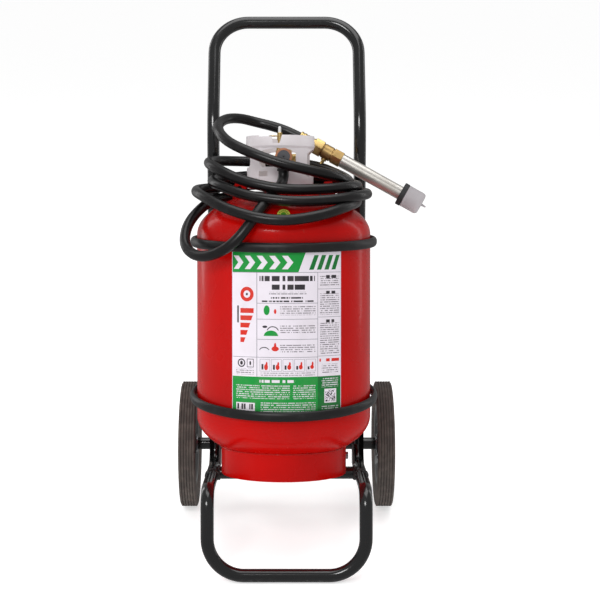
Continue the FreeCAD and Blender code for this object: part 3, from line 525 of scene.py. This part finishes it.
# ---- nozzle and couplings ----
nozzle = {"spot": (54, 63, 570), "dip": 29.2, "turn": 5.5, "capFrom": 184.35, "capTo": 217.35,
          "capRadius": 20.3, "capRings": 9, "crimp": 30}
lever = {"along": 27, "out": 24.6, "thick": 7, "wide": 13, "deep": 3.2, "stemOut": 20.5, "stemLong": 7}
dip, swing = math.radians(nozzle["dip"]), math.radians(nozzle["turn"])
nozzleAhead = Vector((math.cos(dip) * math.cos(swing), -math.cos(dip) * math.sin(swing), -math.sin(dip)))
nozzlePlace = aimed(vessel, nozzle["spot"], nozzleAhead, (-math.sin(dip), 0, -math.cos(dip)))


def crimpedSleeve(inner, outer, low, high, bands):  # a ferrule squeezed onto a hose
    profile = [(inner, low), (outer - 0.5, low), (outer, low + 0.6)]
    pitch = (high - low - 3) / bands
    for band in range(bands):
        start = low + 1.5 + band * pitch
        profile += [(outer, start + 0.25 * pitch), (outer - 0.9, start + 0.4 * pitch),
                    (outer - 0.9, start + 0.7 * pitch), (outer, start + 0.85 * pitch)]
    profile += [(outer, high - 0.6), (outer - 0.5, high), (inner, high), (inner, low)]
    return lathe(profile, 56)


def ribbedCap():
    start, end, radius = nozzle["capFrom"], nozzle["capTo"], nozzle["capRadius"]
    profile = [(radius - 7.6, start), (radius - 0.6, start), (radius, start + 0.6)]
    pitch = (end - start - 12) / nozzle["capRings"]
    for ringNumber in range(nozzle["capRings"]):
        low = start + 3 + ringNumber * pitch
        profile += [(radius, low), (radius - 0.45, low + 0.35 * pitch), (radius - 0.45, low + 0.65 * pitch),
                    (radius, low + pitch)]
    profile += [(radius - 0.4, end - 5.5), (radius - 1.4, end - 2.6), (radius - 3.2, end - 0.8),
                (radius - 6, end), (radius - 9, end - 0.4), (3.4, end - 0.6), (0, end - 0.6)]
    profile += [(0, end - 2.6), (radius - 7.6, end - 5), (radius - 7.6, start)]
    return lathe(profile, 72)


def wingLever():  # a wing that flares to both sides, on a short tapered stem
    form = bmesh.new()
    bmesh.ops.create_cube(form, size=1)
    bmesh.ops.scale(form, verts=form.verts, vec=(lever["thick"], lever["wide"], lever["deep"]))
    bmesh.ops.subdivide_edges(form, edges=[edge for edge in form.edges if abs(
        (edge.verts[0].co - edge.verts[1].co).y) > 1], cuts=4)
    for vert in form.verts:
        flare = abs(vert.co.y) / (lever["wide"] / 2)
        vert.co.x = vert.co.x * (0.72 + 0.28 * flare) - 1.5 * (1 - flare)
        vert.co.z *= 0.85 + 0.3 * flare
    bmesh.ops.translate(form, verts=form.verts, vec=(lever["out"], 0, lever["along"]))
    bmesh.ops.bevel(form, geom=form.edges[:], offset=0.5, affect="EDGES", segments=2, profile=0.5,
                    material=-1)
    hub = bmesh.ops.create_cone(form, cap_ends=True, segments=24, radius1=3.4, radius2=2.9,
                                depth=lever["stemLong"])
    bmesh.ops.rotate(form, verts=hub["verts"], cent=(0, 0, 0), matrix=Matrix.Rotation(math.pi / 2, 3, "Y"))
    bmesh.ops.translate(form, verts=hub["verts"], vec=(lever["stemOut"], 0, lever["along"]))
    return form


def dress(material, *names):
    for name in names:
        for slot in nodes[name].material_slots:
            slot.material = material


# ---- finishes at work ----
redPaint = enamel("red enamel", paint(184, 4, 1), paint(166, 3, 1), 0.22, paint(150, 60, 50), 0.13)
redWeld = enamel("red enamel on welds", paint(172, 6, 3), paint(146, 4, 2), 0.34, paint(120, 50, 45), 0.2,
                 0.0003)
blackPaint = enamel("black enamel", paint(14, 14, 15), paint(20, 20, 21), 0.14, paint(70, 70, 72), 0.5,
                    wornBelow=0.012)
blackWeld = enamel("black enamel on welds", paint(17, 17, 18), paint(26, 26, 27), 0.26, paint(70, 66, 62),
                   0.5, 0.0003)
rimPaint = enamel("wheel enamel", paint(22, 22, 23), paint(34, 33, 33), 0.34, paint(90, 88, 86), 0.4)
hoseSkin = rubber("hose rubber", paint(14, 12, 13), paint(28, 26, 27), 0.3)
hoopSkin = rubber("hoop sleeve", paint(20, 19, 20), paint(38, 37, 37), 0.38, 700, 0.00006)
zinc = metal("zinc plate", paint(196, 198, 204), paint(128, 126, 122), 0.32)
brightBrass = metal("bright brass", paint(228, 198, 132), paint(168, 132, 78), 0.26, (1, 1, 8), 420)
castBrass = metal("cast brass", paint(210, 178, 120), paint(150, 120, 76), 0.36, scale=700, depth=0.00009)
copper = metal("copper ring", paint(214, 150, 118), paint(140, 92, 66), 0.34)
guardPlastic = plastic("guard plastic", paint(232, 226, 229), paint(216, 208, 211), 0.4)
whitePlastic = plastic("white plastic", paint(240, 240, 240), paint(216, 214, 210), 0.3)
capPlastic = plastic("cap plastic", paint(182, 177, 180), paint(158, 152, 156), 0.5)
blackPlastic = plastic("black plastic", paint(30, 30, 32), paint(46, 46, 48), 0.5)
greyPlastic = plastic("grey plastic", paint(74, 74, 78), paint(92, 92, 96), 0.46, 0.0001)
redPlastic = plastic("red plastic", paint(190, 16, 12), paint(150, 20, 16), 0.34)
nylon = plastic("nylon", paint(206, 204, 196), paint(176, 172, 160), 0.44)

dress(redPaint, "vessel_shell", "base_skirt", "neck_collar", "lifting_lugs")
dress(blackPaint, "handle_loop", "foot_loop", "cross_bar", "axle_tube", "frame_gussets")
dress(zinc, "frame_spigots", "upper_hoop_rod", "lower_hoop_rod", "axle_rod", "axle_washers", "axle_nuts",
      "skirt_bolt", "left_rim_bolts", "right_rim_bolts", "tap_ball")
dress(hoopSkin, "upper_hoop_sleeve", "lower_hoop_sleeve")
dress(treadRubber(), "left_tyre", "right_tyre")
dress(rimPaint, "left_rim", "right_rim")
dress(nylon, "left_bush", "right_bush")
dress(brightBrass, "valve_body", "side_port_nut", "plunger", "safety_pin", "tap_stem", "tap_lever")
dress(castBrass, "nozzle_tap_body")
dress(copper, "outlet_ring")
dress(guardPlastic, "valve_guard")
dress(whitePlastic, "plunger_tip")
dress(blackPlastic, "guard_clamp", "nozzle_collar", "outlet_elbow", "neck_seal", "outlet_ferrule")
dress(greyPlastic, "outlet_cap", "dip_tube", "dip_strainer")
dress(redPlastic, "side_port_cap")
dress(capPlastic, "cap_pin")
dress(brushedBarrel(), "nozzle_barrel")
dress(printedLabel(), "front_label")
dress(printedSticker(), "round_sticker")
print("finishes on")

# ---- couplings ----
capPiece = piece("cap_ribbed", ribbedCap(), capPlastic, nozzlePlace, "nozzle_cap",
                 ("nozzle_cap",))
crimpPiece = piece("crimp_sleeve", crimpedSleeve(9.1, 11.6, -nozzle["crimp"], -0.3, 4), brightBrass,
                   nozzlePlace, stands=("nozzle_crimp",))
leverPiece = piece("tap_wing", wingLever(), brightBrass, nozzlePlace, "nozzle_tap",
                   ("tap_lever",), 50)
inletPiece = piece("inlet_hex", hexNut(14, 0.2, 16, 9), brightBrass, nozzlePlace,
                   stands=("nozzle_inlet_nut",))
outletPiece = piece("outlet_hex", hexNut(13.3, 38.2, 55, 11.6), castBrass, nozzlePlace,
                    stands=("nozzle_outlet_nut",))
piece("hose_ferrule", crimpedSleeve(9.1, 11.2, 0.1, 11, 2), blackPlastic,
      vessel @ Matrix.Translation(hose["exit"]), stands=("outlet_ferrule",))
piece("valve_hex", hexNut(23.5, 502.5, 512, 14.2, 1.6), brightBrass, vessel)
piece("outlet_locknut", hexNut(14.6, 0.5, 6, 12.8, 0.8), brightBrass,
      aimed(vessel, (0, -46, 543), (0, -1, 0)))
print("couplings made")

hosePiece = layHose(hoseSkin)
tuple(vessel @ Vector(hose["exit"]))
print("hose laid")

# ---- welds ----
welds = {"bead": 2.2, "tube": 11, "frameHalf": 131, "cross": (52, -11.2), "joint": 20,
         "axle": (165.6, 20.5), "skirt": 0.0463, "neck": 0.4856}
sideways = (1, 0, 0)
for number, side in enumerate((-1, 1)):
    hand = ("left", "right")[number]
    inside = side * (welds["frameHalf"] - welds["tube"])
    piece(f"{hand}_cross_weld", weldRing(10.6, welds["bead"], 26), blackWeld,
          aimed(trolley, (inside, *welds["cross"]), sideways))
    piece(f"{hand}_loop_weld", weldRing(11, 1.7, 30), blackWeld,
          aimed(trolley, (side * welds["frameHalf"], welds["joint"], welds["cross"][1]), (0, 1, 0)))
    piece(f"{hand}_axle_weld", weldRing(6.5, 3, 14, 60), blackWeld,
          aimed(trolley, (side * welds["frameHalf"], *welds["axle"]), (0, 0.991, 0.133), sideways))
piece("skirt_weld", weldRing(108.2, 1.3, 240, 480), redWeld,
      vessel @ Matrix.Translation((0, 0, welds["skirt"])))
piece("neck_weld", weldRing(29.6, 1.8, 46, 160), redWeld,
      vessel @ Matrix.Translation((0, 0, welds["neck"])))
print("welds laid")

# ---- floor and light ----
floor = {"half": 30, "drop": 0.0004, "glow": 0.55}
slab = bmesh.new()
bmesh.ops.create_grid(slab, x_segments=1, y_segments=1, size=floor["half"])
bmesh.ops.translate(slab, verts=slab.verts, vec=(0, 0, -floor["drop"]))
slabMesh = bpy.data.meshes.new("floor")
slab.to_mesh(slabMesh)
slab.free()
pale = Finish("pale floor")
slabMesh.materials.append(pale.surface(Base_Color=paint(240, 240, 240), Roughness=0.9, Specular_IOR_Level=0.1,
                                       Emission_Color=paint(255, 255, 255), Emission_Strength=floor["glow"]))
ground = bpy.data.objects.new("floor", slabMesh)
bpy.context.scene.collection.objects.link(ground)
ground.visible_glossy = False

studio = {
    "left strip": {"spot": (-2.0, 1.7, 1.0), "size": (0.5, 2.2), "power": 7, "shines": True},
    "right strip": {"spot": (2.2, 1.2, 1.0), "size": (0.3, 2.2), "power": 4, "shines": True},
    "left fill": {"spot": (-2.3, -0.9, 1.1), "size": (1.2, 2.2), "power": 18, "shines": False},
    "front box": {"spot": (-0.9, -2.8, 2.6), "size": (1.2, 0.7), "power": 34, "shines": True},
    "top box": {"spot": (0.2, 0.3, 3.0), "size": (2.4, 2.4), "power": 34, "shines": True},
}
aim = Vector((0, 0, 0.45))
for name, lamp in studio.items():
    light = bpy.data.lights.new(name, "AREA")
    light.shape = "RECTANGLE"
    light.size, light.size_y = lamp["size"]
    light.energy = lamp["power"]
    stand = bpy.data.objects.new(name, light)
    stand.location = lamp["spot"]
    stand.rotation_euler = (aim - stand.location).to_track_quat("-Z", "Y").to_euler()
    stand.visible_glossy = lamp["shines"]
    bpy.context.scene.collection.objects.link(stand)

sky = bpy.data.worlds.new("studio")  # a white room whose walls stay dim in gloss
bpy.context.scene.world = sky
sky.use_nodes = True
room = {"fill": 0.5, "gloss": 0.32, "seen": 1}
rays = sky.node_tree.nodes.new("ShaderNodeLightPath")
level = sky.node_tree.nodes.new("ShaderNodeMapRange")
level.inputs["To Min"].default_value = room["fill"]
level.inputs["To Max"].default_value = room["gloss"]
wall = sky.node_tree.nodes.new("ShaderNodeMapRange")
wall.inputs["To Max"].default_value = room["seen"]
backdrop = sky.node_tree.nodes["Background"]
backdrop.inputs["Color"].default_value = (1, 1, 1, 1)
sky.node_tree.links.new(rays.outputs["Is Glossy Ray"], level.inputs["Value"])
sky.node_tree.links.new(rays.outputs["Is Camera Ray"], wall.inputs["Value"])
sky.node_tree.links.new(level.outputs["Result"], wall.inputs["To Min"])
sky.node_tree.links.new(wall.outputs["Result"], backdrop.inputs["Strength"])
bpy.context.scene.view_settings.view_transform = "Standard"
print("studio lit")
